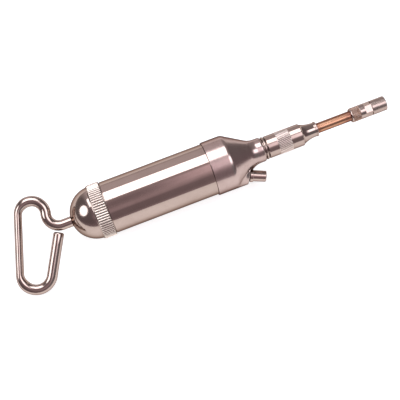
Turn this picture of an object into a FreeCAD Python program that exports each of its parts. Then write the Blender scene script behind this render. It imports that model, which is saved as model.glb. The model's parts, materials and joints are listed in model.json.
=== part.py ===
"""Hand-pulled suction pump with a wire loop handle, as an assembly of separate parts.

Every turned part is drawn on the pump's own axis, with x along the axis towards the nozzle and x = 0 where the
barrel enters the head. The finished parts are then rolled about the axis, so that the handle's long lobe touches
the bench, and moved so that the origin is at the bottom centre of the whole pump.
"""

import FreeCAD, Part
import math
import os

from FreeCAD import Vector

# Driving dimensions, in mm
BARREL_R = 16.0
BARREL_BORE_R = 14.5
THREAD_R = 15.4
RING_R = 16.8
ROD_R = 3.175
RUNNING = 0.05
CAP_FRONT_X = -65.1
DOME_CENTRE_X = -72.1
HEAD_BAND_END_X = 12.3
NECK_R = 7.5
NECK_END_X = 34.6
NUT_X = 37.0
NUT_R = 7.0
NUT_END_X = 69.6
TUBE_R = 3.1
HOLDER_X = 91.8
TIP_R = 4.45
TIP_END_X = 114.6
STUB_ANGLE = 23.2
STUB_FACE = (20.9, 12.0)
BALL_R = 2.5

# Places that follow from them
BARREL_REAR_X = CAP_FRONT_X - 6.3
BARREL_FRONT_X = 9.0
CAP_SHOULDER_X = BARREL_REAR_X - 0.6
PISTON_REAR_X = -14.0
PISTON_FRONT_X = 1.5
BOSS_END_X = DOME_CENTRE_X - 5.0
SPRING_SEAT_X = BOSS_END_X + 1.0
BUSH_REAR_X = DOME_CENTRE_X - 13.5
LOCK_RING_X = NECK_END_X + 0.5
LOCK_RING_END_X = LOCK_RING_X + 1.3
HEX_X = HOLDER_X + 9.1
SLEEVE_X = HOLDER_X + 13.7
VALVE_SEAT_X = 30.2
VALVE_PORT_R = 1.8
BALL_X = VALVE_SEAT_X - math.sqrt(BALL_R**2 - VALVE_PORT_R**2)

# The handle's centreline in the plane of the loop: an S-bend that runs straight into the top bend, then the bottom
# bend. A bend is (x, t, radius), and t is the distance from the pump's axis, positive on the side of the long lobe.
BEND_START_X = -93.3
S_BEND_R = 7.6
S_BEND_TURN = math.radians(105.7)
TOP_BEND_R = 8.2
BOTTOM_BEND = (-118.3, 21.6, 9.5)
PRONG_END = (-97.6, 4.2)
S_END_WAY = (-math.sin(S_BEND_TURN), math.cos(S_BEND_TURN))
TOP_BEND = (
    BEND_START_X + (S_BEND_R + TOP_BEND_R) * S_END_WAY[0],
    -S_BEND_R + (S_BEND_R + TOP_BEND_R) * S_END_WAY[1],
    TOP_BEND_R,
)


# ---- helpers ----

def outline(points):
    """A closed face in the x, r half-plane. A point (x, r) ends a line, and (x, r, xm, rm) ends an arc through
    (xm, rm)."""
    edges = []
    last = Vector(points[0][0], points[0][1], 0)
    for p in list(points[1:]) + [points[0][:2]]:
        end = Vector(p[0], p[1], 0)
        if len(p) == 4:
            edges.append(Part.Arc(last, Vector(p[2], p[3], 0), end).toShape())
        elif last.distanceToPoint(end) > 1e-7:
            edges.append(Part.LineSegment(last, end).toShape())
        last = end
    return Part.Face(Part.Wire(edges))


def turned(points):
    """A solid turned about the pump's axis from an outline."""
    return outline(points).revolve(Vector(0, 0, 0), Vector(1, 0, 0), 360)


def ring(x0, x1, r_in, r_out, chamfer=0.0):
    """A plain ring or disc, with its outer edges broken by the chamfer."""
    c = chamfer
    points = [(x0, r_in), (x0, r_out - c), (x0 + c, r_out), (x1 - c, r_out), (x1, r_out - c), (x1, r_in)]
    return turned([p for i, p in enumerate(points) if c or i not in (1, 4)])


def torus(x, r_mean, r_wire):
    """An O-ring about the pump's axis."""
    shape = Part.makeTorus(r_mean, r_wire)
    shape.rotate(Vector(0, 0, 0), Vector(0, 1, 0), 90)
    shape.translate(Vector(x, 0, 0))
    return shape


def coil(x0, x1, r_mean, r_wire, turns):
    """A compression spring about the pump's axis, from x0 to x1 over its wire."""
    height = x1 - x0 - 2 * r_wire
    path = Part.makeHelix(height / turns, height, r_mean)
    slope = math.degrees(math.atan2(height / turns, 2 * math.pi * r_mean))
    section = Part.Wire(Part.makeCircle(r_wire, Vector(r_mean, 0, 0), Vector(0, 1, 0)))
    section.rotate(Vector(r_mean, 0, 0), Vector(1, 0, 0), slope)
    shape = Part.Wire(path.Edges).makePipeShell([section], True, True)
    shape.rotate(Vector(0, 0, 0), Vector(0, 1, 0), 90)
    shape.translate(Vector(x0 + r_wire, 0, 0))
    return shape


def hex_prism(x0, x1, corner_r):
    """A hexagonal bar along the axis, with one flat facing +Z."""
    corners = [
        Vector(x0, corner_r * math.cos(math.radians(60 * i)), corner_r * math.sin(math.radians(60 * i)))
        for i in range(7)
    ]
    return Part.Face(Part.makePolygon(corners)).extrude(Vector(x1 - x0, 0, 0))


def knurl_bar(x0, x1, r_out, depth, ridges):
    """A straight-knurled bar: a star-shaped section drawn along the axis."""
    corners = []
    for i in range(2 * ridges + 1):
        a = math.pi * i / ridges
        r = r_out if i % 2 else r_out - depth
        corners.append(Vector(x0, r * math.cos(a), r * math.sin(a)))
    return Part.Face(Part.makePolygon(corners)).extrude(Vector(x1 - x0, 0, 0))


def on_stub(shape):
    """Moves a part drawn on the pump's axis, with x = 0 at the pad's face, on to the vent button's own axis."""
    shape.rotate(Vector(0, 0, 0), Vector(0, 0, 1), -STUB_ANGLE)
    shape.translate(Vector(STUB_FACE[0], -STUB_FACE[1], 0))
    return shape


# ---- barrel and end cap ----

def barrel_tube():
    return turned([
        (BARREL_REAR_X, BARREL_BORE_R), (BARREL_REAR_X, THREAD_R - 0.3), (BARREL_REAR_X + 0.3, THREAD_R),
        (CAP_FRONT_X + 0.3, THREAD_R), (CAP_FRONT_X + 0.3, BARREL_R - 0.15), (CAP_FRONT_X + 0.45, BARREL_R),
        (-0.15, BARREL_R), (0, BARREL_R - 0.15), (0, THREAD_R), (BARREL_FRONT_X - 0.3, THREAD_R),
        (BARREL_FRONT_X, THREAD_R - 0.3), (BARREL_FRONT_X, BARREL_BORE_R),
    ])


def end_cap():
    """Domed cap with a knurled skirt that screws over the barrel, and an inner boss for the rod's bush."""
    dome_r, inner_r, hole_r = 16.0, 14.2, 3.5
    skirt_x = DOME_CENTRE_X - 1.2
    boss_r, bush_r = 5.8, 4.6
    knurl_x = skirt_x + 2.3

    def on_sphere(r, at_r):
        return DOME_CENTRE_X - math.sqrt(r**2 - at_r**2)

    outer = [
        (on_sphere(dome_r, hole_r), hole_r),
        (skirt_x, 15.95, on_sphere(dome_r, 11.0), 11.0),
        (skirt_x, 16.35), (skirt_x + 0.4, RING_R - 0.1), (knurl_x - 0.5, RING_R - 0.1),
        (knurl_x - 0.3, RING_R - 0.35), (knurl_x, RING_R - 0.35), (knurl_x + 0.3, RING_R),
        (CAP_FRONT_X - 0.45, RING_R), (CAP_FRONT_X, RING_R - 0.4),
    ]
    inner = [
        (CAP_FRONT_X, THREAD_R + RUNNING), (CAP_SHOULDER_X, THREAD_R + RUNNING), (CAP_SHOULDER_X, inner_r),
        (on_sphere(inner_r, boss_r), boss_r, on_sphere(inner_r, 11.0), 11.0),
        (BOSS_END_X, boss_r), (BOSS_END_X, bush_r), (BUSH_REAR_X, bush_r), (BUSH_REAR_X, hole_r),
    ]
    plain = turned(outer + inner)
    knurled = knurl_bar(knurl_x + 0.05, CAP_FRONT_X + 1, RING_R, 0.36, 92)
    smooth = Part.makeCylinder(RING_R + 1, knurl_x + 0.05 + 100, Vector(-100, 0, 0), Vector(1, 0, 0))
    return plain.common(knurled.fuse(smooth))


def rod_wiper():
    return ring(BUSH_REAR_X, BUSH_REAR_X + 1.2, ROD_R + RUNNING, 4.6)


def rod_bush():
    return ring(BUSH_REAR_X + 1.2, BOSS_END_X - 1.0, ROD_R + RUNNING, 4.6, 0.2)


def bush_clip():
    """Open retaining ring at the mouth of the bush's bore."""
    shape = ring(BOSS_END_X - 1.0, BOSS_END_X - 0.1, 3.7, 4.6)
    return shape.cut(Part.makeBox(4, 2.4, 6, Vector(BOSS_END_X - 3, -1.2, 0)))


def cap_gasket():
    return ring(CAP_SHOULDER_X, BARREL_REAR_X, BARREL_BORE_R - 0.2, THREAD_R)


def spring_seat():
    return turned([
        (BOSS_END_X, 3.4), (BOSS_END_X, 8.2), (SPRING_SEAT_X, 8.2), (SPRING_SEAT_X, 5.4),
        (SPRING_SEAT_X + 1.6, 5.2), (SPRING_SEAT_X + 1.6, 3.4),
    ])


# ---- head, its filter and the inlet valve ----

def pump_head():
    """Turned head: a band over the barrel, a cone and a neck, with a lug and pad for the vent button."""
    body = turned([
        (0, THREAD_R + RUNNING), (0, RING_R - 0.25), (0.25, RING_R), (HEAD_BAND_END_X, RING_R),
        (HEAD_BAND_END_X + 1.3, RING_R - 0.62, HEAD_BAND_END_X + 0.8, RING_R - 0.24),
        (25.2, 9.1),
        (31.1, NECK_R, 27.9, 7.9),
        (NECK_END_X - 1.3, NECK_R - 0.02), (NECK_END_X, NECK_R - 0.9, NECK_END_X - 0.38, NECK_R - 0.34),
        (NECK_END_X, 4.5), (23.2, 4.5), (12.6, 13.2), (9.6, 13.2), (9.6, THREAD_R + RUNNING),
    ])
    lug_r, pad_r, pad_round = 5.2, 5.7, 1.1
    lug = Part.makeCylinder(lug_r, 17, Vector(7, -(RING_R - lug_r), 0), Vector(1, 0, 0))
    pad = Part.makeCylinder(pad_r, 30, Vector(-30, 0, 0), Vector(1, 0, 0))
    pad = on_stub(pad.makeFillet(pad_round, [edge for edge in pad.Edges if edge.BoundBox.XMin > -1]))
    lug = lug.common(pad)
    hollow = turned([(-1, 0), (-1, 15.9), (11.0, 15.9), (12.6, 13.3), (23.2, 4.6), (40, 4.6), (40, 0)])
    spot_face = on_stub(Part.makeCylinder(4.3, 20, Vector(0, 0, 0), Vector(1, 0, 0)))
    port = on_stub(Part.makeCylinder(2.6, 12, Vector(-9, 0, 0), Vector(1, 0, 0)))
    shape = body.fuse(lug.cut(hollow)).cut(spot_face).cut(port).removeSplitter()
    return shape


def head_gasket():
    return ring(BARREL_FRONT_X, 9.6, BARREL_BORE_R - 0.2, THREAD_R)


def filter_screen():
    """Perforated disc that keeps debris out of the barrel."""
    disc = ring(7.3, 7.9, 0.6, BARREL_BORE_R - 0.05)
    hole_r, spacing = 0.8, 2.6
    holes = []
    for n in range(1, 5):
        for i in range(6 * n):
            a = 2 * math.pi * i / (6 * n)
            centre = Vector(7, n * spacing * math.cos(a), n * spacing * math.sin(a))
            holes.append(Part.makeCylinder(hole_r, 2, centre, Vector(1, 0, 0)))
    return disc.cut(Part.makeCompound(holes))


def filter_clip():
    shape = ring(7.9, BARREL_FRONT_X, 13.2, BARREL_BORE_R - 0.05)
    return shape.cut(Part.makeBox(4, 5, 6, Vector(6, -2.5, 11)))


def buffer_ring():
    return ring(PISTON_FRONT_X + 0.4, PISTON_FRONT_X + 3.2, 11.4, BARREL_BORE_R - 0.02, 0.4)


def valve_clip():
    return ring(23.6, 24.5, 1.4, 4.5)


def valve_spring():
    return coil(24.55, 26.54, 1.75, 0.15, 3)


def inlet_ball():
    return Part.makeSphere(BALL_R, Vector(BALL_X - 0.02, 0, 0))


def valve_seat():
    return turned([
        (VALVE_SEAT_X, VALVE_PORT_R), (VALVE_SEAT_X, 4.5), (33.8, 4.5), (33.8, 1.6), (VALVE_SEAT_X + 0.6, 1.6),
        (VALVE_SEAT_X + 0.6, VALVE_PORT_R),
    ])


# ---- neck union, clamping nut and nozzle ----

def neck_union():
    """Nipple that screws into the neck, carries the nut's thread and sockets the nozzle tube."""
    return turned([
        (33.8, 2.0), (33.8, 4.5), (NECK_END_X, 4.5), (NECK_END_X, 5.9), (LOCK_RING_X, 5.9), (LOCK_RING_X, 5.2),
        (47.6, 5.2), (48.0, 4.8), (48.0, 4.3), (46.6, 4.3), (46.6, TUBE_R), (44.2, TUBE_R), (44.2, 2.0),
    ])


def lock_ring():
    """Narrow round-edged ring that locks the union in the neck."""
    start_x, end_x, middle_x = LOCK_RING_X, LOCK_RING_END_X, (LOCK_RING_X + LOCK_RING_END_X) / 2
    return turned([
        (start_x, 5.2), (start_x, NUT_R - 0.35), (middle_x, NUT_R, start_x + 0.2, NUT_R - 0.1),
        (end_x, NUT_R - 0.35, end_x - 0.2, NUT_R - 0.1), (end_x, 5.2),
    ])


def tube_o_ring():
    return torus(47.3, (TUBE_R + 4.3) / 2, (4.3 - TUBE_R) / 2 - 0.01)


def collet():
    """Split clamping sleeve round the nozzle tube."""
    shape = turned([
        (48.1, TUBE_R), (48.1, 4.7), (49.6, 4.7), (54.4, 3.85), (54.4, TUBE_R),
    ])
    for k in range(3):
        slot = Part.makeBox(5, 0.6, 6, Vector(50.4, -0.3, 0))
        slot.rotate(Vector(0, 0, 0), Vector(1, 0, 0), 120 * k + 60)
        shape = shape.cut(slot)
    return shape


def nose_nut():
    """Hand-turned clamping nut: a cylinder for its knurl, then a hollow-curved nose with a small lip."""
    nose_x, lip_x = 59.4, 68.4
    inside = TUBE_R + 2 * RUNNING
    return turned([
        (NUT_X, 5.2 + RUNNING), (NUT_X, NUT_R - 0.35), (NUT_X + 0.35, NUT_R), (nose_x - 0.5, NUT_R - 0.12),
        (nose_x, 6.4), (lip_x - 0.8, 4.35, 62.5, 5.17), (lip_x - 0.1, 4.35), (lip_x, 4.55),
        (NUT_END_X - 0.2, 4.55), (NUT_END_X, 4.35), (NUT_END_X, inside), (54.9, inside), (54.9, 3.9),
        (49.6, 4.85), (48.6, 4.85), (48.6, 5.2 + RUNNING),
    ])


def nozzle_tube():
    return ring(44.2, HOLDER_X + 6.7, 2.1, TUBE_R)


def tip_holder():
    """Socket on the end of the nozzle tube, with spanner flats and a spigot for the sleeve."""
    round_bar = turned([
        (HOLDER_X, TUBE_R), (HOLDER_X, TIP_R - 0.5), (HOLDER_X + 0.5, TIP_R), (SLEEVE_X, TIP_R),
        (SLEEVE_X, 3.3 - RUNNING), (SLEEVE_X + 4.0, 3.3 - RUNNING), (SLEEVE_X + 4.0, 1.9),
        (HOLDER_X + 6.7, 1.9), (HOLDER_X + 6.7, TUBE_R),
    ])
    hex_end = SLEEVE_X - 0.15
    keep = Part.makeCylinder(TIP_R + 1, HEX_X - 80, Vector(80, 0, 0), Vector(1, 0, 0))
    keep = keep.fuse(hex_prism(HEX_X, hex_end, TIP_R + 0.02))
    keep = keep.fuse(Part.makeCylinder(TIP_R + 1, 20, Vector(hex_end, 0, 0), Vector(1, 0, 0)))
    return round_bar.common(keep).removeSplitter()


def tip_sleeve():
    return turned([
        (SLEEVE_X, 3.3), (SLEEVE_X, TIP_R - 0.1), (SLEEVE_X + 0.1, TIP_R), (TIP_END_X - 0.5, TIP_R),
        (TIP_END_X, TIP_R - 0.5, TIP_END_X - 0.15, TIP_R - 0.15), (TIP_END_X, 2.9),
        (SLEEVE_X + 4.8, 2.9), (SLEEVE_X + 4.8, 3.3),
    ])


def tip_gasket():
    return ring(SLEEVE_X + 4.0, SLEEVE_X + 4.8, 1.9, 3.3)


def tip_insert():
    """Heat-resistant mouthpiece inside the sleeve."""
    return turned([
        (SLEEVE_X + 4.8, 1.25), (SLEEVE_X + 4.8, 2.9), (TIP_END_X - 0.8, 2.9), (TIP_END_X - 0.8, 1.9),
        (TIP_END_X - 1.6, 1.25),
    ])


# ---- piston, return spring, rod and handle ----

def piston_body():
    """Rear half of the piston, with a groove for the wear ring and a step for the cup's lip."""
    return turned([
        (PISTON_REAR_X, 4.1), (PISTON_REAR_X, 14.0), (PISTON_REAR_X + 0.3, 14.3), (-12.6, 14.3), (-12.6, 13.0),
        (-9.6, 13.0), (-9.6, 14.3), (-8.0, 14.3), (-8.0, 13.2), (-2.6, 13.2), (-2.6, 4.1),
    ])


def wear_ring():
    shape = ring(-12.6, -9.6, 13.0, BARREL_BORE_R - RUNNING)
    return shape.cut(Part.makeBox(6, 0.8, 6, Vector(-14, -0.4, 11)))


def cup_seal():
    """Cup with its lip turned back over the piston."""
    lip_r = BARREL_BORE_R - RUNNING
    return turned([
        (-2.6, 4.1), (-2.6, 13.2), (-7.4, 13.2), (-7.6, lip_r - 0.3), (-7.2, lip_r), (-1.9, lip_r - 0.1),
        (-1.0, 13.5, -1.2, lip_r - 0.5), (-1.0, 4.1),
    ])


def piston_plate():
    return ring(-1.0, PISTON_FRONT_X, 4.1, 13.5, 0.4)


def piston_bush():
    return ring(PISTON_REAR_X, PISTON_FRONT_X, 2.5 + RUNNING, 4.1)


def return_spring():
    return coil(SPRING_SEAT_X, PISTON_REAR_X, 6.6, 0.6, 13)


def tangent_points(a, b):
    """Where the outer common tangent of two bends (x, t, r) leaves a and meets b, on their -x side."""
    dx, dt = b[0] - a[0], b[1] - a[1]
    length = math.hypot(dx, dt)
    along = math.atan2(dt, dx)
    normal = along + math.acos((a[2] - b[2]) / length)
    n = (math.cos(normal), math.sin(normal))
    return [(c[0] + c[2] * n[0], c[1] + c[2] * n[1]) for c in (a, b)]


def tangent_from(bend, point):
    """Where a line to the point leaves the bend, on the side nearest the pump."""
    dx, dt = point[0] - bend[0], point[1] - bend[1]
    length = math.hypot(dx, dt)
    angle = math.atan2(dt, dx) + math.acos(bend[2] / length)
    return (bend[0] + bend[2] * math.cos(angle), bend[1] + bend[2] * math.sin(angle))


def handle_rod():
    """Piston rod, turned down for the piston at one end and bent into an open loop at the other."""
    def flat(p):
        return Vector(p[0], -p[1], 0)

    def bend(centre, start, end, middle_angle):
        a = math.radians(middle_angle)
        middle = (centre[0] + centre[2] * math.cos(a), centre[1] + centre[2] * math.sin(a))
        return Part.Arc(flat(start), flat(middle), flat(end)).toShape()

    s_bend = (BEND_START_X, -S_BEND_R, S_BEND_R)
    s_end = (BEND_START_X + S_BEND_R * S_END_WAY[0], -S_BEND_R + S_BEND_R * S_END_WAY[1])
    top_end, bottom_start = tangent_points(TOP_BEND, BOTTOM_BEND)
    bottom_end = tangent_from(BOTTOM_BEND, PRONG_END)
    shoulder_x = PISTON_REAR_X - 0.9
    edges = [
        Part.LineSegment(flat((shoulder_x, 0)), flat((BEND_START_X, 0))).toShape(),
        bend(s_bend, (BEND_START_X, 0), s_end, 135),
        bend(TOP_BEND, s_end, top_end, -90),
        Part.LineSegment(flat(top_end), flat(bottom_start)).toShape(),
        bend(BOTTOM_BEND, bottom_start, bottom_end, 100),
        Part.LineSegment(flat(bottom_end), flat(PRONG_END)).toShape(),
    ]
    section = Part.Wire(Part.makeCircle(ROD_R, Vector(shoulder_x, 0, 0), Vector(1, 0, 0)))
    bar = Part.Wire(edges).makePipeShell([section], True, True)
    run = Vector(flat(PRONG_END) - flat(bottom_end)).normalize()
    tip = Part.makeCone(ROD_R, ROD_R - 0.9, 0.9, flat(PRONG_END), run)
    stem = turned([
        (shoulder_x - 1, 0), (shoulder_x - 1, 3.0), (shoulder_x, 3.0), (shoulder_x, 2.5), (6.2, 2.5), (6.6, 2.1),
        (6.6, 0),
    ])
    return bar.fuse([stem, tip]).removeSplitter()


def thrust_washer():
    return ring(PISTON_REAR_X - 0.9, PISTON_REAR_X - RUNNING, 2.5, 4.9)


def rod_washer():
    return ring(PISTON_FRONT_X + RUNNING, PISTON_FRONT_X + 0.9, 2.5, 5.0)


def rod_nut():
    bar = hex_prism(PISTON_FRONT_X + 0.9, PISTON_FRONT_X + 4.6, 4.62)
    return bar.cut(Part.makeCylinder(2.5, 10, Vector(0, 0, 0), Vector(1, 0, 0)))


# ---- vent button, on its own slanted axis with x = 0 at the pad's face ----

def vent_gasket():
    return on_stub(ring(0, 0.6, 2.6, 3.4))


def vent_collar():
    """Flanged bush that guides the button, with the valve's seat on its inner end."""
    return on_stub(turned([
        (-5.6, 1.3), (-5.6, 2.6), (0.6, 2.6), (0.6, 3.65), (0.8, 3.88), (2.35, 3.88), (2.5, 3.73), (2.5, 3.6),
        (2.35, 3.45), (0.9, 3.45), (0.9, 2.05), (-2.5, 2.05), (-2.5, 1.3),
    ]))


def vent_button():
    return on_stub(turned([
        (2.2, 0), (2.2, 3.4), (9.8, 3.33), (10.45, 2.7, 10.28, 3.15), (10.45, 1.5), (10.2, 0),
    ]))


def vent_stem():
    stem_r = 0.8
    return on_stub(turned([
        (-7.2, 0), (-7.2, 1.9), (-6.4, 1.9), (-6.4, stem_r), (2.2, stem_r), (2.2, 0),
    ]))


def vent_seal():
    return on_stub(ring(-6.4, -5.65, 0.8, 1.9))


def vent_spring():
    return on_stub(coil(-2.5, 2.2, 1.5, 0.22, 6))


PARTS = [
    barrel_tube, end_cap, rod_wiper, rod_bush, bush_clip, cap_gasket, spring_seat, pump_head, head_gasket,
    filter_screen, filter_clip, buffer_ring, valve_clip, valve_spring, inlet_ball, valve_seat, neck_union,
    lock_ring, tube_o_ring, collet, nose_nut, nozzle_tube, tip_holder, tip_sleeve, tip_gasket, tip_insert,
    piston_body, wear_ring, cup_seal, piston_plate, piston_bush, return_spring, handle_rod, thrust_washer,
    rod_washer, rod_nut, vent_gasket, vent_collar, vent_button, vent_stem, vent_seal, vent_spring,
]


def roll_angle():
    """The roll, in degrees, at which the long lobe of the loop touches the plane that the two rings stand on."""
    lobe_t = BOTTOM_BEND[1] + BOTTOM_BEND[2]
    return math.degrees(math.asin((RING_R - ROD_R) / lobe_t))


def assemble():
    """Every part by name, in the pump's finished place."""
    made = {part.__name__: part() for part in PARTS}
    for shape in made.values():
        shape.rotate(Vector(0, 0, 0), Vector(1, 0, 0), roll_angle())
    whole = FreeCAD.BoundBox()
    for name in ("handle_rod", "tip_sleeve", "pump_head", "end_cap", "vent_button"):
        whole.add(made[name].optimalBoundingBox())
    move = Vector(-(whole.XMin + whole.XMax) / 2, -(whole.YMin + whole.YMax) / 2, RING_R)
    for shape in made.values():
        shape.translate(move)
    return made, move


if __name__ == "__main__":
    made, move = assemble()
    os.makedirs("parts", exist_ok=True)
    for name, shape in made.items():
        shape.exportStep(f"parts/{name}.step")
        print(f"{name:15s} volume {shape.Volume:9.1f} mm3  solids {len(shape.Solids)}  valid {shape.isValid()}")
    print("origin moved by", [round(v, 4) for v in move], "roll", round(roll_angle(), 3))
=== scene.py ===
"""The hand suction pump's looks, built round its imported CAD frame.

Visible pieces are drawn again in the pump's own millimetres, as finely as a close view needs, and stand in
for their CAD nodes. Local x runs along the barrel with x = 0 where it enters the head, local -y points to the
loop's long lobe, and local z is square to the loop's plane.
"""

import json
import math

import bmesh
import bpy
import numpy as np
from mathutils import Matrix, Vector


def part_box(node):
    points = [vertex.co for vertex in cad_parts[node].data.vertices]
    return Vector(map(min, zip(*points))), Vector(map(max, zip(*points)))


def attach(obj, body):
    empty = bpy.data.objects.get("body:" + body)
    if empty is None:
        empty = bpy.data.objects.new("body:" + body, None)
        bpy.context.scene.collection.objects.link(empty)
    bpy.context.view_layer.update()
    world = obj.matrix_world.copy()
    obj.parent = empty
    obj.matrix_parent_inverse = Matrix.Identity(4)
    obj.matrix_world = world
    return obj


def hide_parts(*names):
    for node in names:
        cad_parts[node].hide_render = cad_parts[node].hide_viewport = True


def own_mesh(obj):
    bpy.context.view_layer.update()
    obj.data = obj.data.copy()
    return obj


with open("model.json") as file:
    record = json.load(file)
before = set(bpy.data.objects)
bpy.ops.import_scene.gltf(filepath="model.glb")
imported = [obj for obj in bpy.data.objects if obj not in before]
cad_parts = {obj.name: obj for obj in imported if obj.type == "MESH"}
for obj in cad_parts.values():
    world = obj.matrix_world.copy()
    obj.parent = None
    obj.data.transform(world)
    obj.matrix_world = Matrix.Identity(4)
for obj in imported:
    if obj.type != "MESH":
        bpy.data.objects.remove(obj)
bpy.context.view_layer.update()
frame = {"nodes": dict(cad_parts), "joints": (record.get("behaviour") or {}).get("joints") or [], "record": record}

# ---- the pump's own axes, from the frame ----

MM = 0.001
JOINTS = {joint["name"]: joint for joint in frame["joints"]}
BARREL_FRONT_X = 9.0
AXIS = JOINTS["cap_turn"]["pos_m"]
ORIGIN = Vector((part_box("barrel_tube")[1].x - BARREL_FRONT_X * MM, AXIS[1], AXIS[2]))
PRESS = Vector(JOINTS["vent_press"]["axis"])
ROLL = math.atan2(PRESS.z, PRESS.y)
STUB_ANGLE = math.acos(-PRESS.x)
TO_ROW = Matrix.Translation(ORIGIN) @ Matrix.Rotation(ROLL, 4, "X") @ Matrix.Diagonal((MM, MM, MM, 1))


def local_x(node, side):
    """The local x, in mm, of a node's rear (0) or front (1) end."""
    return (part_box(node)[side].x - ORIGIN.x) / MM


CAP_FRONT_X = local_x("end_cap", 1)
HEAD_END_X = local_x("pump_head", 1)
NUT_X = local_x("nose_nut", 0)
NUT_END_X = local_x("nose_nut", 1)
HOLDER_X = local_x("tip_holder", 0)
TIP_END_X = local_x("tip_sleeve", 1)
SLEEVE_X = local_x("tip_sleeve", 0)
TUBE_X = local_x("nozzle_tube", 0)
TUBE_END_X = local_x("nozzle_tube", 1)


def local_r(node):
    """The outer radius, in mm, of a node that is turned about the pump's axis."""
    low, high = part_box(node)
    return (high.y - low.y) / 2 / MM


BARREL_R = local_r("barrel_tube")
RING_R = local_r("end_cap")
RIM_R = RING_R - 0.1
THREAD_R = 15.4
THREAD_ROOM = 0.05
ROD_R = 3.175
BAR_R = ROD_R - 0.01  # the loop's bar keeps just inside its CAD solid
BAR_SIDES = 64
BAR_FLATTENING = 0.24
NECK_R = 7.5
NUT_R = local_r("nose_nut")
TUBE_R = local_r("nozzle_tube")
TIP_R = local_r("tip_sleeve")
DOME_CENTRE_X = CAP_FRONT_X - 7.0
SKIRT_X = DOME_CENTRE_X - 1.2
STUB_FACE = (20.9, 12.0)  # where the vent button's axis leaves the pad, along the barrel and out from it
LUG_R = 6.0
LUG_T = RING_R - LUG_R
LUG_X = 6
LUG_END_X = 24
LUG_BLEND = 2.6
PAD_BLEND = 0.9
HEAD_BAND_END_X = 12.3
NUT_KNURL_X = 43.7
NUT_KNURL_END_X = 51.9
NUT_KNURL_DEPTH = 0.34
CAP_KNURL_X = SKIRT_X + 0.55
CAP_KNURL_DEPTH = 0.36
HOLDER_KNURL_X = HOLDER_X + 0.8
HOLDER_KNURL_END_X = HOLDER_X + 5.9
CAP_RIDGES = 68
COLUMNS_PER_RIDGE = 10
COIL_STEPS = 40
WIRE_SIDES = 12
HOLD = 0.08  # how close to a corner its extra point lies
SAME_POINT = 1e-6
WELD_M = 1e-7
KNURL_RUN_OUT = 0.15


# ---- mesh building ----

def traced(points, step=0.6):
    """An outline's points with its arcs cut into short chords, and with a point held close to each corner, so
    that a smooth-shaded corner stays crisp. (x, r) ends a line and (x, r, xm, rm) ends an arc through
    (xm, rm)."""
    out = [tuple(points[0][:2])]
    for p in points[1:]:
        last, end = Vector(out[-1]), Vector(p[:2])
        length = (end - last).length
        if len(p) == 4:
            out += arc_points(last, Vector(p[2:]), end, step)
        elif length > 5 * HOLD:
            count = max(1, round((length - 2 * HOLD) / step)) if step else 1
            inner = [HOLD + (length - 2 * HOLD) * i / count for i in range(count + 1)]
            out += [tuple(last.lerp(end, d / length)) for d in inner] + [tuple(end)]
        elif length > SAME_POINT:
            out.append(tuple(end))
    return out


def arc_points(start, middle, end, step):
    """Points after start along the arc through middle to end."""
    a, b = middle - start, end - start
    cross = 2 * (a.x * b.y - a.y * b.x)
    centre = start + Vector((
        (b.y * a.length_squared - a.y * b.length_squared) / cross,
        (a.x * b.length_squared - b.x * a.length_squared) / cross,
    ))
    radius = (start - centre).length
    angles = [math.atan2(p.y - centre.y, p.x - centre.x) for p in (start, middle, end)]
    turn = (angles[2] - angles[0]) % math.tau
    if (angles[1] - angles[0]) % math.tau > turn:
        turn -= math.tau
    count = max(6, round(abs(turn) * radius / step))
    return [
        (centre.x + radius * math.cos(angles[0] + turn * i / count),
         centre.y + radius * math.sin(angles[0] + turn * i / count))
        for i in range(1, count + 1)
    ]


def mesh_object(name, points, quads, material, place=TO_ROW):
    """A smooth-shaded mesh piece from local points in mm."""
    mesh = bpy.data.meshes.new(name)
    mesh.from_pydata([tuple(p) for p in points], [], quads)
    mesh.transform(place)
    bm = bmesh.new()
    bm.from_mesh(mesh)
    bmesh.ops.remove_doubles(bm, verts=bm.verts, dist=WELD_M)
    bmesh.ops.recalc_face_normals(bm, faces=bm.faces)
    bm.to_mesh(mesh)
    bm.free()
    mesh.shade_smooth()
    mesh.materials.append(material)
    piece = bpy.data.objects.new(name, mesh)
    bpy.context.scene.collection.objects.link(piece)
    return piece


def ring_quads(rings, sides, closed=False):
    """Faces from each ring of points to the next, and from the last ring to the first where closed."""
    quads = []
    for i in range(rings if closed else rings - 1):
        j = (i + 1) % rings
        for k in range(sides):
            after = (k + 1) % sides
            quads.append((i * sides + k, i * sides + after, j * sides + after, j * sides + k))
    return quads


def end_faces(points, sides):
    """The flat faces that close a tube of rings at its first and last ring."""
    return [tuple(range(sides)), tuple(range(len(points) - sides, len(points)))]


def turned(name, outline, material, around=192, shape=None, place=TO_ROW, angles=None):
    """A closed solid of revolution. The outline (x, r) is a loop round the wall, or starts and ends on the
    axis. shape(x, r, angle) gives the radius where the surface isn't plain."""
    if angles is None:
        angles = np.linspace(0, math.tau, around, endpoint=False)
    x = np.array([p[0] for p in outline])[:, None] + 0 * angles[None, :]
    r = np.array([p[1] for p in outline])[:, None] + 0 * angles[None, :]
    if shape:
        r = shape(x, r, angles[None, :])
    points = np.stack([x, r * np.cos(angles), r * np.sin(angles)], axis=-1).reshape(-1, 3)
    rows, cols = x.shape
    on_axis = outline[0][1] == 0 and outline[-1][1] == 0
    return mesh_object(name, points, ring_quads(rows, cols, closed=not on_axis), material, place)


def wave(phase):
    """A triangle wave with slightly rounded peaks: 0 at whole phases and 1 halfway between."""
    tri = 1 - np.abs((phase % 1) * 2 - 1)
    return tri * (1.15 - 0.15 * tri)


def window(x, start, end, ramp):
    """1 between start and end, falling to 0 over the ramp inside them."""
    return np.clip(np.minimum(x - start, end - x) / ramp, 0, 1)


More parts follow.
